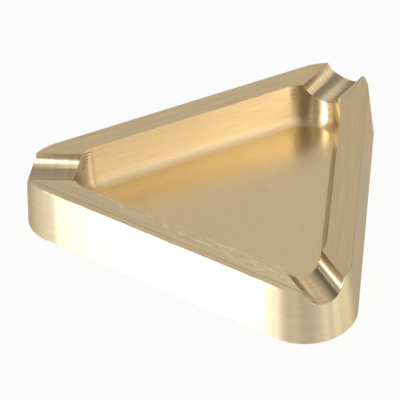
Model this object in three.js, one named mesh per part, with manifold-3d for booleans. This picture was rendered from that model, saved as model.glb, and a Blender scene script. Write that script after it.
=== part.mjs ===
// Triangular ashtray of solid brass: a tray body with sloping walls, a pocket with a rounded foot and
// a round-bottomed cigarette rest through each corner, on three rubber pads stuck into recesses.
// Millimetres, +Z up. The origin is on the tray's centre axis, on the surface that it stands on.
// The front side faces -Y and the third corner points to +Y.

import * as THREE from 'three';
import { mergeVertices } from 'three/addons/utils/BufferGeometryUtils.js';
import Module from 'manifold-3d';

// Tray body
const BASE_WIDTH = 110; // across the front side, at the foot of the walls
const BODY_HEIGHT = 17.5; // underside to rim
const WALL_DRAFT = THREE.MathUtils.degToRad(4.3); // outward slope of the walls towards the foot
const CORNER_RADIUS = 13; // in plan, at the rim
const EDGE_BREAK = 0.3; // flat that takes off each sharp rim and foot edge

// Pocket
const RIM_WIDTH = 7.5; // flat rim along each side
const POCKET_CORNER_RADIUS = 11; // in plan
const FLOOR_THICKNESS = 4.2;
const FLOOR_FILLET = 3.2; // round from the pocket's wall into its floor

// Cigarette rests
const REST_RADIUS = 6.4; // of the round channel
const REST_AXIS_RISE = 1.2; // channel's axis above the rim

// Foot pads
const PAD_RADIUS = 6;
const PAD_THICKNESS = 1.5;
const PAD_EDGE_ROUND = 0.4; // on the lower edge
const ADHESIVE_THICKNESS = 0.3;
const ADHESIVE_MARGIN = 0.5; // adhesive disc to pad edge
const RECESS_DEPTH = 1.2;
const RECESS_CLEARANCE = 0.3; // pad edge to recess wall

// Fineness of the round surfaces
const CORNER_STEPS = 12;
const FILLET_STEPS = 6;
const REST_STEPS = 48;
const PAD_STEPS = 40;
const PAD_ROUND_STEPS = 4;
const CUT_OVERRUN = 2; // how far a cutting body reaches past the surface that it cuts

// Places that follow from the sizes above
const UNDERSIDE_Z = PAD_THICKNESS + ADHESIVE_THICKNESS - RECESS_DEPTH;
const RIM_Z = UNDERSIDE_Z + BODY_HEIGHT;
const FLOOR_Z = UNDERSIDE_Z + FLOOR_THICKNESS;
const RECESS_Z = UNDERSIDE_Z + RECESS_DEPTH;
const DRAFT_PER_HEIGHT = Math.tan(WALL_DRAFT);
const BASE_RADIUS = CORNER_RADIUS + BODY_HEIGHT * DRAFT_PER_HEIGHT;
const CORNER_DISTANCE = (BASE_WIDTH - 2 * BASE_RADIUS) / Math.sqrt(3); // axis to each corner's arc centre
const POCKET_SIDE = CORNER_DISTANCE / 2 + CORNER_RADIUS - RIM_WIDTH; // axis to each pocket wall
const POCKET_CORNER_DISTANCE = 2 * (POCKET_SIDE - POCKET_CORNER_RADIUS);

const CORNERS = [
  { name: 'right', angle: -Math.PI / 6 },
  { name: 'back', angle: Math.PI / 2 },
  { name: 'left', angle: (7 * Math.PI) / 6 },
];
const CORNER_HALF_TURN = Math.PI / 3;

const brass = new THREE.MeshStandardMaterial({ color: 0xc8a96b, roughness: 0.34, metalness: 1 });
const padRubber = new THREE.MeshStandardMaterial({ color: 0x2b2a28, roughness: 0.85, metalness: 0 });
const adhesiveFilm = new THREE.MeshStandardMaterial({ color: 0xd9d4c4, roughness: 0.6, metalness: 0 });

const wasm = await Module();
wasm.setup();

function toSolid(geometry) {
  const bare = geometry.clone();
  bare.deleteAttribute('normal');
  bare.deleteAttribute('uv');
  const merged = mergeVertices(bare);
  const vertProperties = new Float32Array(merged.attributes.position.array);
  const triVerts = new Uint32Array(merged.index.array);
  return new wasm.Manifold(new wasm.Mesh({ numProp: 3, vertProperties, triVerts }));
}

function toGeometry(solid) {
  const mesh = solid.getMesh();
  const geometry = new THREE.BufferGeometry();
  geometry.setAttribute('position', new THREE.BufferAttribute(mesh.vertProperties, 3));
  geometry.setIndex(new THREE.BufferAttribute(mesh.triVerts, 1));
  geometry.computeVertexNormals();
  return geometry;
}

// Triangle with round corners, as the points of its outline. All outlines of one body share the
// centres of their corner arcs, so that a larger radius moves each side out by the same amount.
function roundedTriangle(cornerDistance, radius) {
  const outline = new THREE.Shape();
  for (const { angle } of CORNERS) {
    const centreX = cornerDistance * Math.cos(angle);
    const centreY = cornerDistance * Math.sin(angle);
    outline.absarc(centreX, centreY, radius, angle - CORNER_HALF_TURN, angle + CORNER_HALF_TURN);
  }
  return outline.getPoints(CORNER_STEPS);
}

// Closed body through round-cornered triangles stacked from the bottom up.
function stackTriangles(cornerDistance, levels) {
  const outlines = levels.map(({ radius }) => roundedTriangle(cornerDistance, radius));
  const count = outlines[0].length;
  const positions = [];
  const triangles = [];
  levels.forEach(({ z }, level) => {
    for (const point of outlines[level]) {
      positions.push(point.x, point.y, z);
    }
  });
  for (let level = 0; level < levels.length - 1; level++) {
    for (let i = 0; i < count; i++) {
      const here = level * count + i;
      const next = level * count + ((i + 1) % count);
      triangles.push(here, next, next + count);
      triangles.push(here, next + count, here + count);
    }
  }
  const top = (levels.length - 1) * count;
  for (const [a, b, c] of THREE.ShapeUtils.triangulateShape(outlines[0], [])) {
    triangles.push(c, b, a);
    triangles.push(top + a, top + b, top + c);
  }
  const geometry = new THREE.BufferGeometry();
  geometry.setAttribute('position', new THREE.Float32BufferAttribute(positions, 3));
  geometry.setIndex(triangles);
  return geometry;
}

// Outside of the tray: sloping walls between a rim and a foot whose edges are broken.
function outerBody() {
  const radiusAt = (z) => CORNER_RADIUS + (RIM_Z - z) * DRAFT_PER_HEIGHT;
  return stackTriangles(CORNER_DISTANCE, [
    { z: UNDERSIDE_Z, radius: radiusAt(UNDERSIDE_Z) - EDGE_BREAK },
    { z: UNDERSIDE_Z + EDGE_BREAK, radius: radiusAt(UNDERSIDE_Z + EDGE_BREAK) },
    { z: RIM_Z - EDGE_BREAK, radius: radiusAt(RIM_Z - EDGE_BREAK) },
    { z: RIM_Z, radius: radiusAt(RIM_Z) - EDGE_BREAK },
  ]);
}

// Space of the pocket: a flat floor, a round up into upright walls, and a broken edge at the rim.
function pocketSpace() {
  const levels = [];
  for (let i = 0; i <= FILLET_STEPS; i++) {
    const turn = (i / FILLET_STEPS) * (Math.PI / 2);
    levels.push({
      z: FLOOR_Z + FLOOR_FILLET * (1 - Math.cos(turn)),
      radius: POCKET_CORNER_RADIUS - FLOOR_FILLET * (1 - Math.sin(turn)),
    });
  }
  levels.push({ z: RIM_Z - EDGE_BREAK, radius: POCKET_CORNER_RADIUS });
  levels.push({ z: RIM_Z + CUT_OVERRUN, radius: POCKET_CORNER_RADIUS + EDGE_BREAK + CUT_OVERRUN });
  return stackTriangles(POCKET_CORNER_DISTANCE, levels);
}

// Channel of one cigarette rest, from the air of the pocket out through the corner.
function restChannel(angle) {
  const start = POCKET_CORNER_DISTANCE;
  const end = CORNER_DISTANCE + BASE_RADIUS + CUT_OVERRUN;
  const channel = new THREE.CylinderGeometry(REST_RADIUS, REST_RADIUS, end - start, REST_STEPS);
  channel.rotateZ(-Math.PI / 2);
  channel.translate((start + end) / 2, 0, RIM_Z + REST_AXIS_RISE);
  channel.rotateZ(angle);
  return channel;
}

// Space of the recess that holds one foot pad, centred on its corner's arc.
function padRecess(angle) {
  const radius = PAD_RADIUS + RECESS_CLEARANCE;
  const height = RECESS_DEPTH + CUT_OVERRUN;
  const recess = new THREE.CylinderGeometry(radius, radius, height, PAD_STEPS);
  recess.rotateX(Math.PI / 2);
  recess.translate(CORNER_DISTANCE, 0, RECESS_Z - height / 2);
  recess.rotateZ(angle);
  return recess;
}

function trayBody() {
  let body = toSolid(outerBody()).subtract(toSolid(pocketSpace()));
  for (const { angle } of CORNERS) {
    body = body.subtract(toSolid(restChannel(angle)));
    body = body.subtract(toSolid(padRecess(angle)));
  }
  const mesh = new THREE.Mesh(toGeometry(body), brass);
  mesh.name = 'tray_body';
  return mesh;
}

// Disc turned from a half section of (radius, height) points that runs from the axis back to it.
function turnedDisc(section, material, name) {
  const points = section.map(([radius, height]) => new THREE.Vector2(radius, height));
  const geometry = new THREE.LatheGeometry(points, PAD_STEPS);
  geometry.rotateX(Math.PI / 2);
  const mesh = new THREE.Mesh(geometry, material);
  mesh.name = name;
  return mesh;
}

// Rubber pad: a disc with a round lower edge, standing proud of the underside.
function footPad(name) {
  const section = [[0, 0]];
  for (let i = 0; i <= PAD_ROUND_STEPS; i++) {
    const turn = (i / PAD_ROUND_STEPS) * (Math.PI / 2);
    section.push([
      PAD_RADIUS - PAD_EDGE_ROUND * (1 - Math.sin(turn)),
      PAD_EDGE_ROUND * (1 - Math.cos(turn)),
    ]);
  }
  section.push([PAD_RADIUS, PAD_THICKNESS], [0, PAD_THICKNESS]);
  return turnedDisc(section, padRubber, `foot_pad_${name}`);
}

// Double-sided adhesive between the top of the pad and the ceiling of its recess.
function padAdhesive(name) {
  const radius = PAD_RADIUS - ADHESIVE_MARGIN;
  const section = [[0, PAD_THICKNESS], [radius, PAD_THICKNESS], [radius, RECESS_Z], [0, RECESS_Z]];
  return turnedDisc(section, adhesiveFilm, `pad_adhesive_${name}`);
}

const ashtray = new THREE.Group();
ashtray.add(trayBody());
for (const { name, angle } of CORNERS) {
  const foot = new THREE.Group();
  foot.position.set(CORNER_DISTANCE * Math.cos(angle), CORNER_DISTANCE * Math.sin(angle), 0);
  foot.add(footPad(name), padAdhesive(name));
  ashtray.add(foot);
}

export default ashtray;
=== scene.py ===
import math

import bmesh
import bpy
from mathutils import Matrix, Vector


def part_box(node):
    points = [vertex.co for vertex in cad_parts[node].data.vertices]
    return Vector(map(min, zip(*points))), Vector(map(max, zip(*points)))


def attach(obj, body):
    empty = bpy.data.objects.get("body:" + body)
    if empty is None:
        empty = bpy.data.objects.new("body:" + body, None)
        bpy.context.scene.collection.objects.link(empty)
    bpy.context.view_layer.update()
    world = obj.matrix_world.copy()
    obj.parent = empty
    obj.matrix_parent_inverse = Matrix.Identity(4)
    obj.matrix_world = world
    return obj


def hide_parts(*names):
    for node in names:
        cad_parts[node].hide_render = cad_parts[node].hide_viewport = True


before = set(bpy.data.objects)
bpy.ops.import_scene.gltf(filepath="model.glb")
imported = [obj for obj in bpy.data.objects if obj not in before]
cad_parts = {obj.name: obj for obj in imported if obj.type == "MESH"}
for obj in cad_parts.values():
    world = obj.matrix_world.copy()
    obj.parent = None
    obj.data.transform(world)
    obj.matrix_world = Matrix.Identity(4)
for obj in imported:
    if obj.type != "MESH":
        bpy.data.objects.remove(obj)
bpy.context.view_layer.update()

# Tray body. One block of brass with walls that slope out towards the foot. The pocket is milled out,
# a round channel for a cigarette runs through each corner, and three round recesses underneath take
# the foot pads. Rim and walls are brushed by belt along the sides, and the edges are only just broken.
body_low, body_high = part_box("tray_body")
UNDERSIDE_Z = body_low.z
RIM_Z = body_high.z
BODY_HEIGHT = RIM_Z - UNDERSIDE_Z
BASE_WIDTH = 0.110
WALL_DRAFT = math.radians(4.3)
CORNER_RADIUS = 0.013
RIM_WIDTH = 0.0075
POCKET_CORNER_RADIUS = 0.011
FLOOR_THICKNESS = 0.0042
FLOOR_FILLET = 0.0032
REST_RADIUS = 0.0064
REST_AXIS_RISE = 0.0012
RECESS_RADIUS = 0.0063
RECESS_DEPTH = 0.0012
EDGE_BREAK = 0.00013
CUT_OVERRUN = 0.002
CORNER_STEPS = 72
FILLET_STEPS = 12
REST_STEPS = 72
RECESS_STEPS = 96

FLOOR_Z = UNDERSIDE_Z + FLOOR_THICKNESS
BASE_RADIUS = CORNER_RADIUS + BODY_HEIGHT * math.tan(WALL_DRAFT)
CORNER_DISTANCE = (BASE_WIDTH - 2 * BASE_RADIUS) / math.sqrt(3)
POCKET_SIDE = CORNER_DISTANCE / 2 + CORNER_RADIUS - RIM_WIDTH
POCKET_CORNER_DISTANCE = 2 * (POCKET_SIDE - POCKET_CORNER_RADIUS)
CORNERS = {"right": math.radians(-30), "back": math.radians(90), "left": math.radians(210)}


def towards(angle, distance, z=0.0):
    return Vector((distance * math.cos(angle), distance * math.sin(angle), z))


def nearest_corner(x, y):
    return max(CORNERS.values(), key=lambda angle: x * math.cos(angle) + y * math.sin(angle))


def select_vertices(indices):
    edited = bmesh.from_edit_mesh(bpy.context.object.data)
    edited.verts.ensure_lookup_table()
    bpy.ops.mesh.select_all(action="DESELECT")
    for index in indices:
        edited.verts[index].select_set(True)
    edited.select_flush(True)
    bmesh.update_edit_mesh(bpy.context.object.data)


def select_face(matches):
    edited = bmesh.from_edit_mesh(bpy.context.object.data)
    bpy.ops.mesh.select_all(action="DESELECT")
    for face in edited.faces:
        if matches(face):
            face.select_set(True)
    bmesh.update_edit_mesh(bpy.context.object.data)


def faces_up(face):
    return face.normal.z > 0.9


def lies_flat(face):
    return face.normal.z > 0.99


def faces_down(face):
    return face.normal.z < -0.9


def shape_corners(chosen, from_distance, to_distance, radius_change):
    """Scale the chosen ring about each corner's arc centre, then slide it along the corner's line."""
    edited = bmesh.from_edit_mesh(bpy.context.object.data)
    rings = {angle: [] for angle in CORNERS.values()}
    for vertex in edited.verts:
        if chosen(vertex):
            rings[nearest_corner(vertex.co.x, vertex.co.y)].append(vertex.index)
    for angle, indices in rings.items():
        select_vertices(indices)
        bpy.ops.transform.resize(
            value=(radius_change, radius_change, 1.0), center_override=towards(angle, from_distance)
        )
        bpy.ops.transform.translate(value=towards(angle, to_distance - from_distance))


bpy.ops.object.select_all(action="DESELECT")
ring_steps = 3 * CORNER_STEPS
bpy.ops.mesh.primitive_cylinder_add(
    vertices=ring_steps,
    radius=BASE_RADIUS,
    depth=BODY_HEIGHT,
    end_fill_type="NGON",
    location=(0, 0, (UNDERSIDE_Z + RIM_Z) / 2),
    rotation=(0, 0, math.pi / ring_steps),
)
tray = bpy.context.object
tray.name = "brass_tray"
bpy.ops.object.transform_apply(location=True, rotation=True, scale=True)
bpy.ops.object.mode_set(mode="EDIT")
bpy.ops.mesh.select_mode(type="VERT")
shape_corners(lambda vertex: True, 0.0, CORNER_DISTANCE, 1.0)
middle_z = (UNDERSIDE_Z + RIM_Z) / 2
shape_corners(
    lambda vertex: vertex.co.z > middle_z, CORNER_DISTANCE, CORNER_DISTANCE, CORNER_RADIUS / BASE_RADIUS
)

# The rim is an inset of the top face, whose inner ring then takes the pocket's own corner radius.
RIM_FIRST_INSET = 0.004
select_face(faces_up)
bpy.ops.mesh.inset(thickness=RIM_FIRST_INSET, use_even_offset=True)
edited = bmesh.from_edit_mesh(tray.data)
inner_ring = {vertex.index for vertex in edited.verts if vertex.select}
shape_corners(
    lambda vertex: vertex.index in inner_ring,
    CORNER_DISTANCE,
    POCKET_CORNER_DISTANCE,
    POCKET_CORNER_RADIUS / (CORNER_RADIUS - RIM_FIRST_INSET),
)

# The pocket is sunk to the top of its fillet, and the fillet is a run of small sinking insets.
select_vertices(inner_ring)
bpy.ops.mesh.select_mode(type="FACE")
bpy.ops.mesh.extrude_region_move(
    TRANSFORM_OT_translate={"value": (0, 0, FLOOR_Z + FLOOR_FILLET - RIM_Z)}
)
for step in range(FILLET_STEPS):
    turn = (math.pi / 2) * step / FILLET_STEPS
    next_turn = (math.pi / 2) * (step + 1) / FILLET_STEPS
    bpy.ops.mesh.inset(
        thickness=FLOOR_FILLET * (math.cos(turn) - math.cos(next_turn)),
        depth=-FLOOR_FILLET * (math.sin(next_turn) - math.sin(turn)),
        use_even_offset=True,
    )

# A worn facet along the front of the rim: it starts at the pocket's edge on the left, widens to the
# right and falls slightly towards the pocket.
CREASE_LEFT = Vector((-0.0330, -0.0302, 0.0))
CREASE_RIGHT = Vector((0.0400, -0.0331, 0.0))
FACET_SLOPE = math.radians(2.0)
crease_run = (CREASE_RIGHT - CREASE_LEFT).normalized()
crease_inward = Vector((-crease_run.y, crease_run.x, 0.0))


def past_crease(point):
    return (Vector((point.x, point.y, 0.0)) - CREASE_LEFT).dot(crease_inward)


FRONT_LIMIT_Y = -0.024
bpy.ops.mesh.select_mode(type="FACE")
select_face(
    lambda face: faces_up(face)
    and face.calc_center_median().z > RIM_Z - EDGE_BREAK
    and face.calc_center_median().y < FRONT_LIMIT_Y
)
bpy.ops.mesh.bisect(plane_co=CREASE_LEFT, plane_no=crease_inward)
edited = bmesh.from_edit_mesh(tray.data)
for vertex in edited.verts:
    if vertex.co.z > RIM_Z - EDGE_BREAK and vertex.co.y < FRONT_LIMIT_Y and past_crease(vertex.co) > 0:
        vertex.co.z -= past_crease(vertex.co) * math.tan(FACET_SLOPE)
bmesh.update_edit_mesh(tray.data)
bpy.ops.object.mode_set(mode="OBJECT")

# Cutters for the channels and the recesses, joined so that one cut makes them all.
bpy.ops.object.select_all(action="DESELECT")
cutters = []
channel_start = POCKET_CORNER_DISTANCE
channel_end = CORNER_DISTANCE + BASE_RADIUS + CUT_OVERRUN
for angle in CORNERS.values():
    bpy.ops.mesh.primitive_cylinder_add(
        vertices=REST_STEPS,
        radius=REST_RADIUS,
        depth=channel_end - channel_start,
        location=towards(angle, (channel_start + channel_end) / 2, RIM_Z + REST_AXIS_RISE),
        rotation=(0, math.pi / 2, angle),
    )
    cutters.append(bpy.context.object)
    bpy.ops.mesh.primitive_cylinder_add(
        vertices=RECESS_STEPS,
        radius=RECESS_RADIUS,
        depth=RECESS_DEPTH + CUT_OVERRUN,
        location=towards(angle, CORNER_DISTANCE, UNDERSIDE_Z + (RECESS_DEPTH - CUT_OVERRUN) / 2),
    )
    cutters.append(bpy.context.object)
for cutter in cutters:
    cutter.select_set(True)
bpy.ops.object.join()
cutter = bpy.context.object
bpy.ops.object.select_all(action="DESELECT")
bpy.context.view_layer.objects.active = tray
tray.select_set(True)
cut = tray.modifiers.new("channels and recesses", "BOOLEAN")
cut.operation = "DIFFERENCE"
cut.solver = "EXACT"
cut.object = cutter
bpy.ops.object.modifier_apply(modifier=cut.name)
bpy.data.objects.remove(cutter)

# The cut rim is joined into plain flat runs, and then every edge is broken.
bpy.ops.object.mode_set(mode="EDIT")
select_face(lambda face: lies_flat(face) and face.calc_center_median().z > RIM_Z - 2 * EDGE_BREAK)
bpy.ops.mesh.dissolve_limited(angle_limit=math.radians(0.5), use_dissolve_boundaries=False)
bpy.ops.object.mode_set(mode="OBJECT")
edge = tray.modifiers.new("broken edges", "BEVEL")
edge.width = EDGE_BREAK
edge.segments = 2
edge.limit_method = "ANGLE"
edge.angle_limit = math.radians(35)
edge.use_clamp_overlap = False
edge.loop_slide = False
bpy.ops.object.modifier_apply(modifier=edge.name)
# The bevel may lift a corner by a hair, and the rim is flat.
for vertex in tray.data.vertices:
    vertex.co.z = min(vertex.co.z, RIM_Z)

# Tool marks: short scoops that the cutter left in the pocket's wall beside the channels, each one
# an egg laid along the wall (corner, degrees from its line, height, length, width, degrees of tilt).
SCOOP_DEPTH = 0.00025
SCOOPS = [
    ("left", -46, 0.01710, 0.0021, 0.00045, -6),
    ("left", -44, 0.01600, 0.0024, 0.00050, -8),
    ("left", -42, 0.01490, 0.0025, 0.00052, -8),
    ("left", -40, 0.01380, 0.0022, 0.00048, -8),
    ("left", -37, 0.01270, 0.0018, 0.00042, -6),
    ("back", 53, 0.01660, 0.0030, 0.00040, -5),
    ("back", 51, 0.01560, 0.0034, 0.00044, -4),
    ("back", 50, 0.01465, 0.0030, 0.00040, -5),
    ("back", 48, 0.01370, 0.0033, 0.00042, -4),
    ("back", 47, 0.01270, 0.0028, 0.00038, -3),
]


def on_pocket_corner(corner, turn, height):
    """The way that the pocket's wall bulges at a turn from the corner's line, and a point on it."""
    facing = CORNERS[corner] + math.radians(turn)
    centre = towards(CORNERS[corner], POCKET_CORNER_DISTANCE)
    return facing, centre + towards(facing, POCKET_CORNER_RADIUS, height)


# The rotate operator counts clockwise, so its angles take a minus.
bpy.ops.object.select_all(action="DESELECT")
scoops = []
for corner, turn, height, length, width, tilt in SCOOPS:
    facing, wall_point = on_pocket_corner(corner, turn, height)
    bpy.ops.mesh.primitive_uv_sphere_add(segments=24, ring_count=12, radius=0.5)
    bpy.ops.transform.resize(value=(2 * SCOOP_DEPTH, length, width))
    bpy.ops.transform.rotate(value=-math.radians(tilt), orient_axis="X", center_override=(0, 0, 0))
    bpy.ops.transform.rotate(value=-facing, orient_axis="Z", center_override=(0, 0, 0))
    bpy.ops.transform.translate(value=wall_point)
    scoops.append(bpy.context.object)
for scoop in scoops:
    scoop.select_set(True)
bpy.ops.object.transform_apply(location=True, rotation=True, scale=True)
bpy.ops.object.join()
cutter = bpy.context.object
bpy.ops.object.select_all(action="DESELECT")
bpy.context.view_layer.objects.active = tray
tray.select_set(True)
cut = tray.modifiers.new("tool marks", "BOOLEAN")
cut.operation = "DIFFERENCE"
cut.solver = "MANIFOLD"
cut.object = cutter
bpy.ops.object.modifier_apply(modifier=cut.name)
bpy.data.objects.remove(cutter)
bpy.ops.object.shade_smooth_by_angle(angle=math.radians(20))

# Grain map: U runs along the brush marks and V across them, in metres, so that the marks follow
# each side, bend round the corners and lie across the channels.
SIDE_LENGTH = math.sqrt(3) * CORNER_DISTANCE
ARC_LENGTH = CORNER_RADIUS * math.radians(120)
PERIMETER = 3 * (SIDE_LENGTH + ARC_LENGTH)
CORNER_ORDER = list(CORNERS.values())
SIDE_ANGLES = [math.radians(30), math.radians(150), math.radians(270)]


def length_round(x, y, corner_distance):
    """Length round the walls from the middle of the right corner's arc, the same at all heights."""
    angle = nearest_corner(x, y)
    centre = towards(angle, corner_distance)
    turn = math.atan2(y - centre.y, x - centre.x) - angle
    turn = (turn + math.pi) % (2 * math.pi) - math.pi
    along = Vector((x, y, 0)) - centre
    length = CORNER_ORDER.index(angle) * (SIDE_LENGTH + ARC_LENGTH)
    if abs(turn) <= math.radians(60):
        return length + CORNER_RADIUS * turn
    side = angle + math.copysign(math.radians(150), turn)
    run = along.x * math.cos(side) + along.y * math.sin(side)
    return length + math.copysign(ARC_LENGTH / 2 + run, turn)


def depth_along(z):
    """Length down the pocket's wall and then round its fillet."""
    wall = RIM_Z - FLOOR_Z - FLOOR_FILLET
    if RIM_Z - z <= wall:
        return RIM_Z - z
    return wall + FLOOR_FILLET * math.asin(min(1.0, (RIM_Z - z - wall) / FLOOR_FILLET))


def outside_pocket(x, y):
    """Distance outwards from the pocket's wall."""
    from_centre = Vector((x, y, 0)) - towards(nearest_corner(x, y), POCKET_CORNER_DISTANCE)
    turn = math.atan2(from_centre.y, from_centre.x) - nearest_corner(x, y)
    turn = (turn + math.pi) % (2 * math.pi) - math.pi
    if abs(turn) <= math.radians(60):
        return from_centre.length - POCKET_CORNER_RADIUS
    return max(x * math.cos(side) + y * math.sin(side) for side in SIDE_ANGLES) - POCKET_SIDE


FLAT_WALL_LIMIT = 0.00001


def in_shade_painted_mark(point):
    """Whether a point lies in one of the left corner's marks, which take the painted shade; the back
    corner's marks are left unpainted.
    """
    for corner, turn, height, length, width, tilt in SCOOPS:
        if corner != "left":
            continue
        facing, wall_point = on_pocket_corner(corner, turn, height)
        offset = point - wall_point
        sideways = -offset.x * math.sin(facing) + offset.y * math.cos(facing)
        lean = math.radians(tilt)
        along = sideways * math.cos(lean) + offset.z * math.sin(lean)
        over = offset.z * math.cos(lean) - sideways * math.sin(lean)
        inside_outline = math.hypot(2 * along / length, 2 * over / width) < 1
        if inside_outline and outside_pocket(point.x, point.y) > FLAT_WALL_LIMIT:
            return True
    return False


def face_region(face):
    normal, centre = face.normal, face.center
    if faces_down(face):
        return "underside"
    angle = nearest_corner(centre.x, centre.y)
    across = -centre.x * math.sin(angle) + centre.y * math.cos(angle)
    from_axis = math.hypot(across, centre.z - RIM_Z - REST_AXIS_RISE)
    outward = centre.x * math.cos(angle) + centre.y * math.sin(angle)
    on_channel = abs(from_axis - REST_RADIUS) < 2 * EDGE_BREAK and outward > POCKET_CORNER_DISTANCE
    if on_channel and normal.z > 0.1 and centre.z < RIM_Z - EDGE_BREAK:
        return "rest"
    if faces_up(face) and centre.z > RIM_Z - 2 * EDGE_BREAK:
        return "worn" if centre.y < FRONT_LIMIT_Y and past_crease(centre) > EDGE_BREAK else "rim"
    if lies_flat(face) and centre.z < FLOOR_Z + EDGE_BREAK:
        return "floor"
    if outside_pocket(centre.x, centre.y) > RIM_WIDTH / 2:
        return "wall"
    return "mark" if in_shade_painted_mark(centre) else "pocket"


REGIONS = ["rim", "worn", "wall", "pocket", "floor", "rest", "underside", "mark"]
tray_mesh = tray.data
tray_mesh.materials.clear()
while tray_mesh.uv_layers:
    tray_mesh.uv_layers.remove(tray_mesh.uv_layers[0])
grain_map = tray_mesh.uv_layers.new(name="grain")
for face in tray_mesh.polygons:
    region = face_region(face)
    face.material_index = REGIONS.index(region)
    face.use_smooth = region not in ("rim", "worn", "floor", "underside")
    centre = face.center
    angle = nearest_corner(centre.x, centre.y)
    side = max(SIDE_ANGLES, key=lambda a: centre.x * math.cos(a) + centre.y * math.sin(a))
    for loop in face.loop_indices:
        x, y, z = tray_mesh.vertices[tray_mesh.loops[loop].vertex_index].co
        if region in ("rim", "underside"):
            u = -x * math.sin(side) + y * math.cos(side)
            v = x * math.cos(side) + y * math.sin(side)
        elif region == "worn":
            u = (Vector((x, y, 0.0)) - CREASE_LEFT).dot(crease_run)
            v = past_crease(Vector((x, y, 0.0)))
        elif region == "floor":
            u, v = x, y
        elif region == "rest":
            across = -x * math.sin(angle) + y * math.cos(angle)
            u = REST_RADIUS * math.atan2(across, RIM_Z + REST_AXIS_RISE - z)
            v = x * math.cos(angle) + y * math.sin(angle)
        elif region == "wall":
            u, v = length_round(x, y, CORNER_DISTANCE), z
            if u - length_round(centre.x, centre.y, CORNER_DISTANCE) > PERIMETER / 2:
                u -= PERIMETER
        else:
            u, v = length_round(x, y, POCKET_CORNER_DISTANCE), depth_along(z)
            if u - length_round(centre.x, centre.y, POCKET_CORNER_DISTANCE) > PERIMETER / 2:
                u -= PERIMETER
        grain_map.data[loop].uv = (u, v)


def new_group(name, inputs, outputs):
    group = bpy.data.node_groups.new(name, "ShaderNodeTree")
    for socket_name, kind, value in inputs:
        socket = group.interface.new_socket(socket_name, in_out="INPUT", socket_type=kind)
        if value is not None:
            socket.default_value = value
    for socket_name, kind in outputs:
        group.interface.new_socket(socket_name, in_out="OUTPUT", socket_type=kind)
    return group, group.nodes.new("NodeGroupInput"), group.nodes.new("NodeGroupOutput")


# Brush marks: two noises drawn out along U, one of fine hairlines and one of wider streaks.
grain_group, grain_in, grain_out = new_group(
    "Brush marks",
    [
        ("Grain map", "NodeSocketVector", None),
        ("Lines per metre", "NodeSocketFloat", 3500.0),
        ("Breaks per metre", "NodeSocketFloat", 60.0),
        ("Streaks per metre", "NodeSocketFloat", 500.0),
    ],
    [("Hairline", "NodeSocketFloat"), ("Streak", "NodeSocketFloat")],
)
for output, rate, detail in (("Hairline", "Lines per metre", 3.0), ("Streak", "Streaks per metre", 4.0)):
    scale = grain_group.nodes.new("ShaderNodeCombineXYZ")
    grain_group.links.new(grain_in.outputs["Breaks per metre"], scale.inputs["X"])
    grain_group.links.new(grain_in.outputs[rate], scale.inputs["Y"])
    stretched = grain_group.nodes.new("ShaderNodeVectorMath")
    stretched.operation = "MULTIPLY"
    grain_group.links.new(grain_in.outputs["Grain map"], stretched.inputs[0])
    grain_group.links.new(scale.outputs["Vector"], stretched.inputs[1])
    noise = grain_group.nodes.new("ShaderNodeTexNoise")
    noise.noise_dimensions = "2D"
    noise.inputs["Scale"].default_value = 1.0
    noise.inputs["Detail"].default_value = detail
    noise.inputs["Roughness"].default_value = 0.6
    grain_group.links.new(stretched.outputs["Vector"], noise.inputs["Vector"])
    grain_group.links.new(noise.outputs["Fac"], grain_out.inputs[output])

# Swirl marks: fine arcs in patches, each patch about a far centre of its own, as a turning pad leaves.
swirl_group, swirl_in, swirl_out = new_group(
    "Swirl marks",
    [
        ("Grain map", "NodeSocketVector", None),
        ("Patches per metre", "NodeSocketFloat", 60.0),
        ("Arcs per metre", "NodeSocketFloat", 1100.0),
        ("Centre distance", "NodeSocketFloat", 0.03),
    ],
    [("Swirl", "NodeSocketFloat")],
)
swirl_links = swirl_group.links
uneven = swirl_group.nodes.new("ShaderNodeTexNoise")
uneven.noise_dimensions = "2D"
uneven.inputs["Scale"].default_value = 150.0
swirl_links.new(swirl_in.outputs["Grain map"], uneven.inputs["Vector"])
wobble = swirl_group.nodes.new("ShaderNodeVectorMath")
wobble.operation = "MULTIPLY_ADD"
wobble.inputs[1].default_value = (0.008, 0.008, 0.0)
swirl_links.new(uneven.outputs["Color"], wobble.inputs[0])
swirl_links.new(swirl_in.outputs["Grain map"], wobble.inputs[2])
patches = swirl_group.nodes.new("ShaderNodeTexVoronoi")
patches.voronoi_dimensions = "2D"
swirl_links.new(wobble.outputs["Vector"], patches.inputs["Vector"])
swirl_links.new(swirl_in.outputs["Patches per metre"], patches.inputs["Scale"])
sideways = swirl_group.nodes.new("ShaderNodeVectorMath")
sideways.operation = "SUBTRACT"
sideways.inputs[1].default_value = (0.5, 0.5, 0.5)
swirl_links.new(patches.outputs["Color"], sideways.inputs[0])
reach = swirl_group.nodes.new("ShaderNodeVectorMath")
reach.operation = "SCALE"
swirl_links.new(sideways.outputs["Vector"], reach.inputs[0])
swirl_links.new(swirl_in.outputs["Centre distance"], reach.inputs["Scale"])
centre_of_arcs = swirl_group.nodes.new("ShaderNodeVectorMath")
centre_of_arcs.operation = "ADD"
swirl_links.new(patches.outputs["Position"], centre_of_arcs.inputs[0])
swirl_links.new(reach.outputs["Vector"], centre_of_arcs.inputs[1])
radius_of_arc = swirl_group.nodes.new("ShaderNodeVectorMath")
radius_of_arc.operation = "DISTANCE"
swirl_links.new(swirl_in.outputs["Grain map"], radius_of_arc.inputs[0])
swirl_links.new(centre_of_arcs.outputs["Vector"], radius_of_arc.inputs[1])
count = swirl_group.nodes.new("ShaderNodeMath")
count.operation = "MULTIPLY"
swirl_links.new(radius_of_arc.outputs["Value"], count.inputs[0])
swirl_links.new(swirl_in.outputs["Arcs per metre"], count.inputs[1])
arcs = swirl_group.nodes.new("ShaderNodeTexNoise")
arcs.noise_dimensions = "1D"
arcs.inputs["Scale"].default_value = 1.0
arcs.inputs["Detail"].default_value = 3.0
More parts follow.
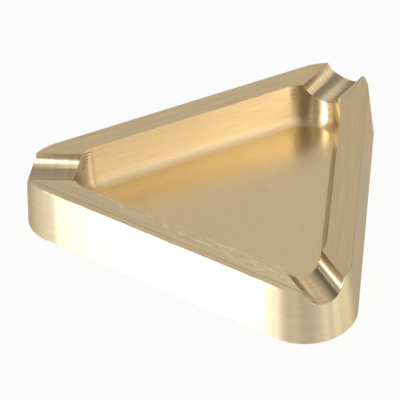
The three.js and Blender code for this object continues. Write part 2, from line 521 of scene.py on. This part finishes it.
swirl_links.new(count.outputs["Value"], arcs.inputs["W"])
swirl_links.new(arcs.outputs["Fac"], swirl_out.inputs["Swirl"])

BRASS = (0.870, 0.735, 0.470)
BRASS_EDGE_TINT = (0.60, 0.58, 0.55, 1)


def shaded(share):
    return (BRASS[0] * share, BRASS[1] * share, BRASS[2] * share, 1)


def between(nodes, low, high, from_low=0.3, from_high=0.7):
    span = nodes.new("ShaderNodeMapRange")
    span.inputs["From Min"].default_value = from_low
    span.inputs["From Max"].default_value = from_high
    span.inputs["To Min"].default_value = low
    span.inputs["To Max"].default_value = high
    return span


def brushed_brass(name, roughness, spread, anisotropy, lines, breaks, streaks, depth, contrast):
    """Brass whose hairlines and streaks run along U; contrast is the share by which its colour changes."""
    material = bpy.data.materials.new(name)
    material.use_nodes = True
    nodes, links = material.node_tree.nodes, material.node_tree.links
    shader = nodes["Principled BSDF"]
    shader.inputs["Metallic"].default_value = 1.0
    shader.inputs["Anisotropic"].default_value = anisotropy
    shader.inputs["Anisotropic Rotation"].default_value = 0.25
    shader.inputs["Specular Tint"].default_value = BRASS_EDGE_TINT
    grain = nodes.new("ShaderNodeUVMap")
    grain.name = "grain"
    grain.uv_map = "grain"
    marks = nodes.new("ShaderNodeGroup")
    marks.node_tree = grain_group
    marks.inputs["Lines per metre"].default_value = lines
    marks.inputs["Breaks per metre"].default_value = breaks
    marks.inputs["Streaks per metre"].default_value = streaks
    links.new(grain.outputs["UV"], marks.inputs["Grain map"])
    tangent = nodes.new("ShaderNodeTangent")
    tangent.direction_type = "UV_MAP"
    tangent.uv_map = "grain"
    links.new(tangent.outputs["Tangent"], shader.inputs["Tangent"])
    both = nodes.new("ShaderNodeMath")
    both.operation = "ADD"
    links.new(marks.outputs["Hairline"], both.inputs[0])
    links.new(marks.outputs["Streak"], both.inputs[1])
    tone = between(nodes, 0.0, 1.0, 0.7, 1.3)
    links.new(both.outputs["Value"], tone.inputs["Value"])
    colour = nodes.new("ShaderNodeValToRGB")
    colour.name = "colour"
    colour.color_ramp.elements[0].color = shaded(1 - contrast)
    colour.color_ramp.elements[1].color = shaded(1 + contrast)
    links.new(tone.outputs["Result"], colour.inputs["Fac"])
    links.new(colour.outputs["Color"], shader.inputs["Base Color"])
    rough = between(nodes, roughness - spread, roughness + spread)
    rough.name = "rough"
    links.new(marks.outputs["Hairline"], rough.inputs["Value"])
    links.new(rough.outputs["Result"], shader.inputs["Roughness"])
    bump = nodes.new("ShaderNodeBump")
    bump.name = "bump"
    bump.inputs["Strength"].default_value = 0.5
    bump.inputs["Distance"].default_value = depth
    links.new(marks.outputs["Hairline"], bump.inputs["Height"])
    links.new(bump.outputs["Normal"], shader.inputs["Normal"])
    return material


# The worn facet carries torn flecks, close to its crease on the left and all over on the right: they are
# rougher and raised as burrs, and their pale colour is a painted glint.
FLECKS_ALONG = 330
FLECKS_ACROSS = 1500
# The pale fleck colour is a painted glint, brighter than the brass itself.
PAINTED_GLINT_BRASS = (0.97, 0.90, 0.72, 1)
TORN_ROUGHNESS = 0.55
BURR_HEIGHT = 0.00005
worn_brass = brushed_brass(
    "brass worn rim", roughness=0.46, spread=0.04, anisotropy=0.4,
    lines=3200, breaks=80, streaks=500, depth=0.00001, contrast=0.06,
)
nodes, links = worn_brass.node_tree.nodes, worn_brass.node_tree.links
FACET_LENGTH = (CREASE_RIGHT - CREASE_LEFT).length
grain_parts = nodes.new("ShaderNodeSeparateXYZ")
links.new(nodes["grain"].outputs["UV"], grain_parts.inputs["Vector"])
stretched = nodes.new("ShaderNodeVectorMath")
stretched.operation = "MULTIPLY"
stretched.inputs[1].default_value = (FLECKS_ALONG, FLECKS_ACROSS, 0)
links.new(nodes["grain"].outputs["UV"], stretched.inputs[0])
torn_and_glint = nodes.new("ShaderNodeTexNoise")
torn_and_glint.noise_dimensions = "2D"
torn_and_glint.inputs["Scale"].default_value = 1.0
torn_and_glint.inputs["Detail"].default_value = 2.0
links.new(stretched.outputs["Vector"], torn_and_glint.inputs["Vector"])
wear_and_glint_along = between(nodes, -0.06, 0.05, 0.0, FACET_LENGTH)
links.new(grain_parts.outputs["X"], wear_and_glint_along.inputs["Value"])
away = between(nodes, 0.04, -0.03, 0.0, 0.0022)
links.new(grain_parts.outputs["Y"], away.inputs["Value"])
likely = nodes.new("ShaderNodeMath")
likely.operation = "ADD"
links.new(wear_and_glint_along.outputs["Result"], likely.inputs[0])
links.new(away.outputs["Result"], likely.inputs[1])
weighed = nodes.new("ShaderNodeMath")
weighed.operation = "ADD"
links.new(torn_and_glint.outputs["Fac"], weighed.inputs[0])
links.new(likely.outputs["Value"], weighed.inputs[1])
fleck_and_glint = between(nodes, 0.0, 1.0, 0.56, 0.66)
links.new(weighed.outputs["Value"], fleck_and_glint.inputs["Value"])
# Painted glint: the flecks take the pale colour.
painted_glint = nodes.new("ShaderNodeMix")
painted_glint.data_type = "RGBA"
painted_glint.inputs["B"].default_value = PAINTED_GLINT_BRASS
links.new(fleck_and_glint.outputs["Result"], painted_glint.inputs["Factor"])
links.new(nodes["colour"].outputs["Color"], painted_glint.inputs["A"])
links.new(painted_glint.outputs["Result"], nodes["Principled BSDF"].inputs["Base Color"])
matt = nodes.new("ShaderNodeMix")
matt.inputs["B"].default_value = TORN_ROUGHNESS
links.new(fleck_and_glint.outputs["Result"], matt.inputs["Factor"])
links.new(nodes["rough"].outputs["Result"], matt.inputs["A"])
links.new(matt.outputs["Result"], nodes["Principled BSDF"].inputs["Roughness"])
burr = nodes.new("ShaderNodeBump")
burr.inputs["Strength"].default_value = 1.0
burr.inputs["Distance"].default_value = BURR_HEIGHT
links.new(fleck_and_glint.outputs["Result"], burr.inputs["Height"])
links.new(nodes["bump"].outputs["Normal"], burr.inputs["Normal"])
links.new(burr.outputs["Normal"], nodes["Principled BSDF"].inputs["Normal"])

# The floor was finished with a turning pad, so its roughness and relief follow the swirls.
floor_brass = brushed_brass(
    "brass floor", roughness=0.30, spread=0.012, anisotropy=0.0,
    lines=900, breaks=500, streaks=120, depth=0.000002, contrast=0.02,
)
nodes, links = floor_brass.node_tree.nodes, floor_brass.node_tree.links
swirls = nodes.new("ShaderNodeGroup")
swirls.node_tree = swirl_group
links.new(nodes["grain"].outputs["UV"], swirls.inputs["Grain map"])
links.new(swirls.outputs["Swirl"], nodes["rough"].inputs["Value"])
swirl_relief = nodes.new("ShaderNodeBump")
swirl_relief.inputs["Strength"].default_value = 0.5
swirl_relief.inputs["Distance"].default_value = 0.000004
links.new(swirls.outputs["Swirl"], swirl_relief.inputs["Height"])
links.new(nodes["bump"].outputs["Normal"], swirl_relief.inputs["Normal"])
links.new(swirl_relief.outputs["Normal"], nodes["Principled BSDF"].inputs["Normal"])

# The belt eases the flat walls into the corners, so what they mirror fades there instead of breaking
# off at a line.
EASED_LENGTH = 0.005
EASED_DROP = 0.0004
CORNER_TO_MID_SIDE = PERIMETER / 6
wall_brass = brushed_brass(
    "brass outer wall", roughness=0.42, spread=0.015, anisotropy=1.0,
    lines=2600, breaks=30, streaks=600, depth=0.00001, contrast=0.05,
)
nodes, links = wall_brass.node_tree.nodes, wall_brass.node_tree.links
split = nodes.new("ShaderNodeSeparateXYZ")
links.new(nodes["grain"].outputs["UV"], split.inputs["Vector"])
from_corner = nodes.new("ShaderNodeMath")
from_corner.operation = "WRAP"
from_corner.inputs[1].default_value = CORNER_TO_MID_SIDE
from_corner.inputs[2].default_value = -CORNER_TO_MID_SIDE
links.new(split.outputs["X"], from_corner.inputs[0])
either_way = nodes.new("ShaderNodeMath")
either_way.operation = "ABSOLUTE"
links.new(from_corner.outputs["Value"], either_way.inputs[0])
eased = nodes.new("ShaderNodeMapRange")
eased.interpolation_type = "SMOOTHSTEP"
eased.inputs["From Min"].default_value = ARC_LENGTH / 2 - EASED_LENGTH
eased.inputs["From Max"].default_value = ARC_LENGTH / 2 + EASED_LENGTH
links.new(either_way.outputs["Value"], eased.inputs["Value"])
ease = nodes.new("ShaderNodeBump")
ease.inputs["Strength"].default_value = 1.0
ease.inputs["Distance"].default_value = EASED_DROP
links.new(eased.outputs["Result"], ease.inputs["Height"])
links.new(nodes["bump"].outputs["Normal"], ease.inputs["Normal"])
links.new(ease.outputs["Normal"], nodes["Principled BSDF"].inputs["Normal"])

# The tool marks are unpolished, so they have no grain; their colour, darker than the wall's, is painted
# shade in the scoops.
PAINTED_SHADE_SHARES = (0.40, 0.56)
tool_mark_brass_painted_shade = brushed_brass(
    "brass tool marks with painted shade", roughness=0.40, spread=0.02, anisotropy=0.0,
    lines=2600, breaks=60, streaks=700, depth=0.000004, contrast=0.06,
)
for element, share in zip(tool_mark_brass_painted_shade.node_tree.nodes["colour"].color_ramp.elements, PAINTED_SHADE_SHARES):
    element.color = shaded(share)

for material in (
    brushed_brass(
        "brass rim", roughness=0.40, spread=0.04, anisotropy=0.8,
        lines=2800, breaks=50, streaks=900, depth=0.00001, contrast=0.075,
    ),
    worn_brass,
    wall_brass,
    brushed_brass(
        "brass pocket wall", roughness=0.41, spread=0.02, anisotropy=1.0,
        lines=2800, breaks=70, streaks=1100, depth=0.00001, contrast=0.06,
    ),
    floor_brass,
    brushed_brass(
        "brass rests", roughness=0.40, spread=0.012, anisotropy=1.0,
        lines=2200, breaks=60, streaks=900, depth=0.000003, contrast=0.11,
    ),
    brushed_brass(
        "brass underside", roughness=0.42, spread=0.04, anisotropy=0.5,
        lines=2500, breaks=40, streaks=400, depth=0.00001, contrast=0.08,
    ),
    tool_mark_brass_painted_shade,
):
    tray_mesh.materials.append(material)
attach(tray, "root")
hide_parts("tray_body")

# Adhesive discs. Die-cut double-sided film, pale and hazy, pressed into the top of each recess
# underneath; its lower face holds the foot pad.
adhesive_low, adhesive_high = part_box("pad_adhesive_right")
ADHESIVE_RADIUS = 0.0055
DISC_STEPS = 96


def copies_at_corners(model, names, node_names):
    """Name the model for the right corner and turn a copy of it to each of the other two."""
    pieces = [model]
    for turns in (1, 2):
        bpy.ops.object.select_all(action="DESELECT")
        model.select_set(True)
        bpy.context.view_layer.objects.active = model
        bpy.ops.object.duplicate(linked=False)
        turn = turns * math.radians(120)
        bpy.ops.transform.rotate(value=-turn, orient_axis="Z", center_override=(0, 0, 0))
        bpy.ops.object.transform_apply(location=True, rotation=True, scale=True)
        pieces.append(bpy.context.object)
    for piece, name, node_name in zip(pieces, names, node_names):
        piece.name = name
        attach(piece, "root")
        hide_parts(node_name)


bpy.ops.object.select_all(action="DESELECT")
bpy.ops.mesh.primitive_cylinder_add(
    vertices=DISC_STEPS,
    radius=ADHESIVE_RADIUS,
    depth=adhesive_high.z - adhesive_low.z,
    location=towards(CORNERS["right"], CORNER_DISTANCE, (adhesive_low.z + adhesive_high.z) / 2),
)
adhesive_disc = bpy.context.object
bpy.ops.object.transform_apply(location=True, rotation=True, scale=True)
bpy.ops.object.shade_smooth_by_angle(angle=math.radians(30))
film = bpy.data.materials.new("adhesive film")
film.use_nodes = True
nodes, links = film.node_tree.nodes, film.node_tree.links
place = nodes.new("ShaderNodeTexCoord")
haze = nodes.new("ShaderNodeTexNoise")
haze.inputs["Scale"].default_value = 900.0
haze.inputs["Detail"].default_value = 3.0
links.new(place.outputs["Object"], haze.inputs["Vector"])
tint = nodes.new("ShaderNodeValToRGB")
tint.color_ramp.elements[0].position = 0.35
tint.color_ramp.elements[0].color = (0.62, 0.59, 0.50, 1)
tint.color_ramp.elements[1].position = 0.65
tint.color_ramp.elements[1].color = (0.74, 0.72, 0.64, 1)
links.new(haze.outputs["Fac"], tint.inputs["Fac"])
links.new(tint.outputs["Color"], nodes["Principled BSDF"].inputs["Base Color"])
nodes["Principled BSDF"].inputs["Roughness"].default_value = 0.45
adhesive_disc.data.materials.append(film)
copies_at_corners(
    adhesive_disc,
    ["adhesive_disc_right", "adhesive_disc_back", "adhesive_disc_left"],
    ["pad_adhesive_right", "pad_adhesive_back", "pad_adhesive_left"],
)

# Foot pads. Round dark rubber, moulded with a soft edge, stuck to the adhesive discs; the tray stands
# on them, clear of the table.
pad_low, pad_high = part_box("foot_pad_right")
PAD_RADIUS = 0.006
PAD_EDGE_ROUND = 0.0004
bpy.ops.object.select_all(action="DESELECT")
bpy.ops.mesh.primitive_cylinder_add(
    vertices=DISC_STEPS,
    radius=PAD_RADIUS,
    depth=pad_high.z - pad_low.z,
    location=towards(CORNERS["right"], CORNER_DISTANCE, (pad_low.z + pad_high.z) / 2),
)
rubber_pad = bpy.context.object
bpy.ops.object.transform_apply(location=True, rotation=True, scale=True)
bpy.ops.object.mode_set(mode="EDIT")
bpy.ops.mesh.select_mode(type="FACE")
select_face(faces_down)
bpy.ops.mesh.bevel(offset=PAD_EDGE_ROUND, segments=6, affect="EDGES")
bpy.ops.object.mode_set(mode="OBJECT")
bpy.ops.object.shade_smooth_by_angle(angle=math.radians(30))
rubber = bpy.data.materials.new("pad rubber")
rubber.use_nodes = True
nodes, links = rubber.node_tree.nodes, rubber.node_tree.links
place = nodes.new("ShaderNodeTexCoord")
pores = nodes.new("ShaderNodeTexNoise")
pores.inputs["Scale"].default_value = 2500.0
pores.inputs["Detail"].default_value = 4.0
links.new(place.outputs["Object"], pores.inputs["Vector"])
tint = nodes.new("ShaderNodeValToRGB")
tint.color_ramp.elements[0].position = 0.35
tint.color_ramp.elements[0].color = (0.018, 0.018, 0.019, 1)
tint.color_ramp.elements[1].position = 0.7
tint.color_ramp.elements[1].color = (0.036, 0.035, 0.034, 1)
links.new(pores.outputs["Fac"], tint.inputs["Fac"])
links.new(tint.outputs["Color"], nodes["Principled BSDF"].inputs["Base Color"])
worn = nodes.new("ShaderNodeMapRange")
worn.inputs["From Min"].default_value = 0.3
worn.inputs["From Max"].default_value = 0.7
worn.inputs["To Min"].default_value = 0.62
worn.inputs["To Max"].default_value = 0.82
links.new(pores.outputs["Fac"], worn.inputs["Value"])
links.new(worn.outputs["Result"], nodes["Principled BSDF"].inputs["Roughness"])
dimples = nodes.new("ShaderNodeBump")
dimples.inputs["Strength"].default_value = 0.4
dimples.inputs["Distance"].default_value = 0.00004
links.new(pores.outputs["Fac"], dimples.inputs["Height"])
links.new(dimples.outputs["Normal"], nodes["Principled BSDF"].inputs["Normal"])
rubber_pad.data.materials.append(rubber)
copies_at_corners(
    rubber_pad,
    ["rubber_pad_right", "rubber_pad_back", "rubber_pad_left"],
    ["foot_pad_right", "foot_pad_back", "foot_pad_left"],
)

# Floor. A plain pale board, white to the eye and in reflections, that takes a soft shadow.
bpy.ops.object.select_all(action="DESELECT")
BOARD_SIZE = 6.0
OWN_WHITE_SHARE = 0.92
bpy.ops.mesh.primitive_plane_add(size=BOARD_SIZE, location=(0, 0, 0))
board = bpy.context.object
board.name = "studio_floor"
board_paint = bpy.data.materials.new("white board")
board_paint.use_nodes = True
nodes, links = board_paint.node_tree.nodes, board_paint.node_tree.links
nodes.remove(nodes["Principled BSDF"])
matt = nodes.new("ShaderNodeBsdfDiffuse")
matt.inputs["Color"].default_value = (0.9, 0.9, 0.9, 1)
glow = nodes.new("ShaderNodeEmission")
glow.inputs["Strength"].default_value = 1.0
path = nodes.new("ShaderNodeLightPath")
seen = nodes.new("ShaderNodeMath")
seen.operation = "MAXIMUM"
links.new(path.outputs["Is Camera Ray"], seen.inputs[0])
links.new(path.outputs["Is Glossy Ray"], seen.inputs[1])
seen_through = nodes.new("ShaderNodeMath")
seen_through.operation = "MAXIMUM"
links.new(seen.outputs["Value"], seen_through.inputs[0])
links.new(path.outputs["Is Transmission Ray"], seen_through.inputs[1])
share = nodes.new("ShaderNodeMath")
share.operation = "MULTIPLY"
share.inputs[1].default_value = OWN_WHITE_SHARE
links.new(seen_through.outputs["Value"], share.inputs[0])
whole = nodes.new("ShaderNodeMixShader")
links.new(share.outputs["Value"], whole.inputs["Fac"])
links.new(matt.outputs["BSDF"], whole.inputs[1])
links.new(glow.outputs["Emission"], whole.inputs[2])
links.new(whole.outputs["Shader"], nodes["Material Output"].inputs["Surface"])
board.data.materials.append(board_paint)

# Room and lamps. A studio drawn on the world as soft panels, far off: each one has a bearing, a
# height above the horizon, half sizes and an edge that fades, all in degrees.
LAMP_WHITE = (0.92, 0.99, 1.20, 1)
ROOM_WHITE = (1.0, 0.917, 0.867, 1)
ROOM_STRENGTH = 0.16
PANELS = [
    # name, bearing, half width, height, half height, fading edge, strength
    ("back lamp", 112.0, 10.0, 11.0, 13.0, 6.0, 2.00),
    ("right wall", 42.0, 14.0, 6.0, 11.0, 4.0, 1.15),
    ("right slit", -12.5, 6.0, 29.0, 17.0, 3.5, 2.75),
    ("roof by the camera", -26.0, 9.0, 43.0, 14.0, 3.0, 1.60),
    ("front wall", -78.0, 8.0, 24.0, 3.5, 3.5, 4.00),
    ("main lamp's right wing", -106.0, 6.0, 14.0, 8.0, 15.0, 5.80),
    ("main lamp's left wing", -142.0, 9.0, 12.0, 7.0, 19.0, 3.70),
    ("back roof", 108.0, 18.0, 64.0, 8.0, 7.0, 0.90),
    ("roof", 0.0, 190.0, 84.0, 24.0, 10.0, 0.42),
    ("back wall", 130.0, 36.0, 38.0, 11.0, 8.0, 0.52),
]


def fade_above(fade, half_height):
    """The fade above and below a panel, kept shorter than a low panel is tall."""
    return min(fade, 0.6 * half_height + 0.5)


def worked_out(nodes, links, operation, first, second=0.0):
    sum_node = nodes.new("ShaderNodeMath")
    sum_node.operation = operation
    for socket, value in zip(sum_node.inputs, (first, second)):
        if isinstance(value, float):
            socket.default_value = value
        else:
            links.new(value, socket)
    return sum_node.outputs["Value"]


panel_group, panel_in, panel_out = new_group(
    "Soft panel",
    [
        ("Direction", "NodeSocketVector", None),
        ("Bearing", "NodeSocketFloat", 0.0),
        ("Half width", "NodeSocketFloat", 0.2),
        ("Height", "NodeSocketFloat", 0.5),
        ("Half height", "NodeSocketFloat", 0.2),
        ("Side fade", "NodeSocketFloat", 0.1),
        ("Top fade", "NodeSocketFloat", 0.1),
        ("Strength", "NodeSocketFloat", 1.0),
    ],
    [("Light", "NodeSocketFloat")],
)
nodes, links = panel_group.nodes, panel_group.links
parts = nodes.new("ShaderNodeSeparateXYZ")
links.new(panel_in.outputs["Direction"], parts.inputs["Vector"])
bearing = worked_out(nodes, links, "ARCTAN2", parts.outputs["Y"], parts.outputs["X"])
height = worked_out(nodes, links, "ARCSINE", parts.outputs["Z"])
off_side = worked_out(nodes, links, "SUBTRACT", bearing, panel_in.outputs["Bearing"])
off_side = worked_out(nodes, links, "ARCCOSINE", worked_out(nodes, links, "COSINE", off_side))
off_height = worked_out(nodes, links, "SUBTRACT", height, panel_in.outputs["Height"])
off_height = worked_out(nodes, links, "ABSOLUTE", off_height)
shares = []
for off, half, fade in ((off_side, "Half width", "Side fade"), (off_height, "Half height", "Top fade")):
    edge_fade = nodes.new("ShaderNodeMapRange")
    edge_fade.interpolation_type = "SMOOTHSTEP"
    outer = worked_out(nodes, links, "ADD", panel_in.outputs[half], panel_in.outputs[fade])
    inner = worked_out(nodes, links, "SUBTRACT", panel_in.outputs[half], panel_in.outputs[fade])
    links.new(off, edge_fade.inputs["Value"])
    links.new(inner, edge_fade.inputs["From Min"])
    links.new(outer, edge_fade.inputs["From Max"])
    edge_fade.inputs["To Min"].default_value = 1.0
    edge_fade.inputs["To Max"].default_value = 0.0
    shares.append(edge_fade.outputs["Result"])
light = worked_out(nodes, links, "MULTIPLY", shares[0], shares[1])
light = worked_out(nodes, links, "MULTIPLY", light, panel_in.outputs["Strength"])
links.new(light, panel_out.inputs["Light"])

world = bpy.data.worlds.new("studio")
bpy.context.scene.world = world
world.use_nodes = True
nodes, links = world.node_tree.nodes, world.node_tree.links
direction = nodes.new("ShaderNodeTexCoord")
room = nodes["Background"]
room.inputs["Color"].default_value = ROOM_WHITE
room.inputs["Strength"].default_value = ROOM_STRENGTH
lit = room.outputs["Background"]
for name, bearing, half_width, height, half_height, fade, strength in PANELS:
    panel = nodes.new("ShaderNodeGroup")
    panel.node_tree = panel_group
    panel.label = name
    links.new(direction.outputs["Generated"], panel.inputs["Direction"])
    for socket, degrees in (
        ("Bearing", bearing),
        ("Half width", half_width),
        ("Height", height),
        ("Half height", half_height),
        ("Side fade", fade),
        ("Top fade", fade_above(fade, half_height)),
    ):
        panel.inputs[socket].default_value = math.radians(degrees)
    panel.inputs["Strength"].default_value = strength
    face = nodes.new("ShaderNodeBackground")
    face.inputs["Color"].default_value = ROOM_WHITE
    links.new(panel.outputs["Light"], face.inputs["Strength"])
    added = nodes.new("ShaderNodeAddShader")
    links.new(lit, added.inputs[0])
    links.new(face.outputs["Background"], added.inputs[1])
    lit = added.outputs["Shader"]
paper = nodes.new("ShaderNodeBackground")
paper.inputs["Color"].default_value = (1, 1, 1, 1)
path = nodes.new("ShaderNodeLightPath")
seen = nodes.new("ShaderNodeMixShader")
links.new(path.outputs["Is Camera Ray"], seen.inputs["Fac"])
links.new(lit, seen.inputs[1])
links.new(paper.outputs["Background"], seen.inputs[2])
links.new(seen.outputs["Shader"], nodes["World Output"].inputs["Surface"])


def soft_box(name, place, width, height, watts, colour):
    """A lamp with a cloth front that faces the tray's centre axis at its own height."""
    lamp = bpy.data.lights.new(name, "AREA")
    lamp.shape = "RECTANGLE"
    lamp.size = width
    lamp.size_y = height
    lamp.energy = watts
    lamp.color = colour[:3]
    holder = bpy.data.objects.new(name, lamp)
    holder.visible_camera = False
    bpy.context.collection.objects.link(holder)
    holder.location = place
    facing = Vector((0, 0, place[2])) - Vector(place)
    holder.rotation_euler = facing.to_track_quat("-Z", "Y").to_euler()


soft_box("main lamp", (-0.287, -0.552, 0.155), width=0.186, height=0.150, watts=1.650, colour=LAMP_WHITE)
soft_box("left lamp", (-0.270, 0.045, 0.034), width=0.036, height=0.040, watts=0.085, colour=LAMP_WHITE)
soft_box("right window", (0.260, 0.018, 0.160), width=0.062, height=0.220, watts=0.125, colour=ROOM_WHITE)
soft_box("right curtain", (0.239, 0.102, 0.110), width=0.127, height=0.220, watts=0.070, colour=ROOM_WHITE)

# Camera at the photograph's viewing angle: a long lens from the front right, tipped a little.
CAMERA_AZIMUTH = math.radians(38.991)
CAMERA_ELEVATION = math.radians(37.811)
CAMERA_ROLL = math.radians(-4.593)
CAMERA_DISTANCE = 0.7216
CAMERA_TARGET = Vector((-0.01385, 0.00104, UNDERSIDE_Z))
FOCAL_PIXELS = 2456.5
PHOTO_PIXELS = 400
camera_data = bpy.data.cameras.new("camera")
camera_data.sensor_width = 36.0
camera_data.lens = FOCAL_PIXELS / PHOTO_PIXELS * camera_data.sensor_width
camera = bpy.data.objects.new("camera", camera_data)
bpy.context.collection.objects.link(camera)
turn = (
    Matrix.Rotation(CAMERA_AZIMUTH, 4, "Z")
    @ Matrix.Rotation(math.pi / 2 - CAMERA_ELEVATION, 4, "X")
    @ Matrix.Rotation(CAMERA_ROLL, 4, "Z")
)
back_off = Matrix.Translation((0, 0, CAMERA_DISTANCE))
camera.matrix_world = Matrix.Translation(CAMERA_TARGET) @ turn @ back_off
bpy.context.scene.camera = camera
bpy.context.scene.view_settings.view_transform = "Standard"
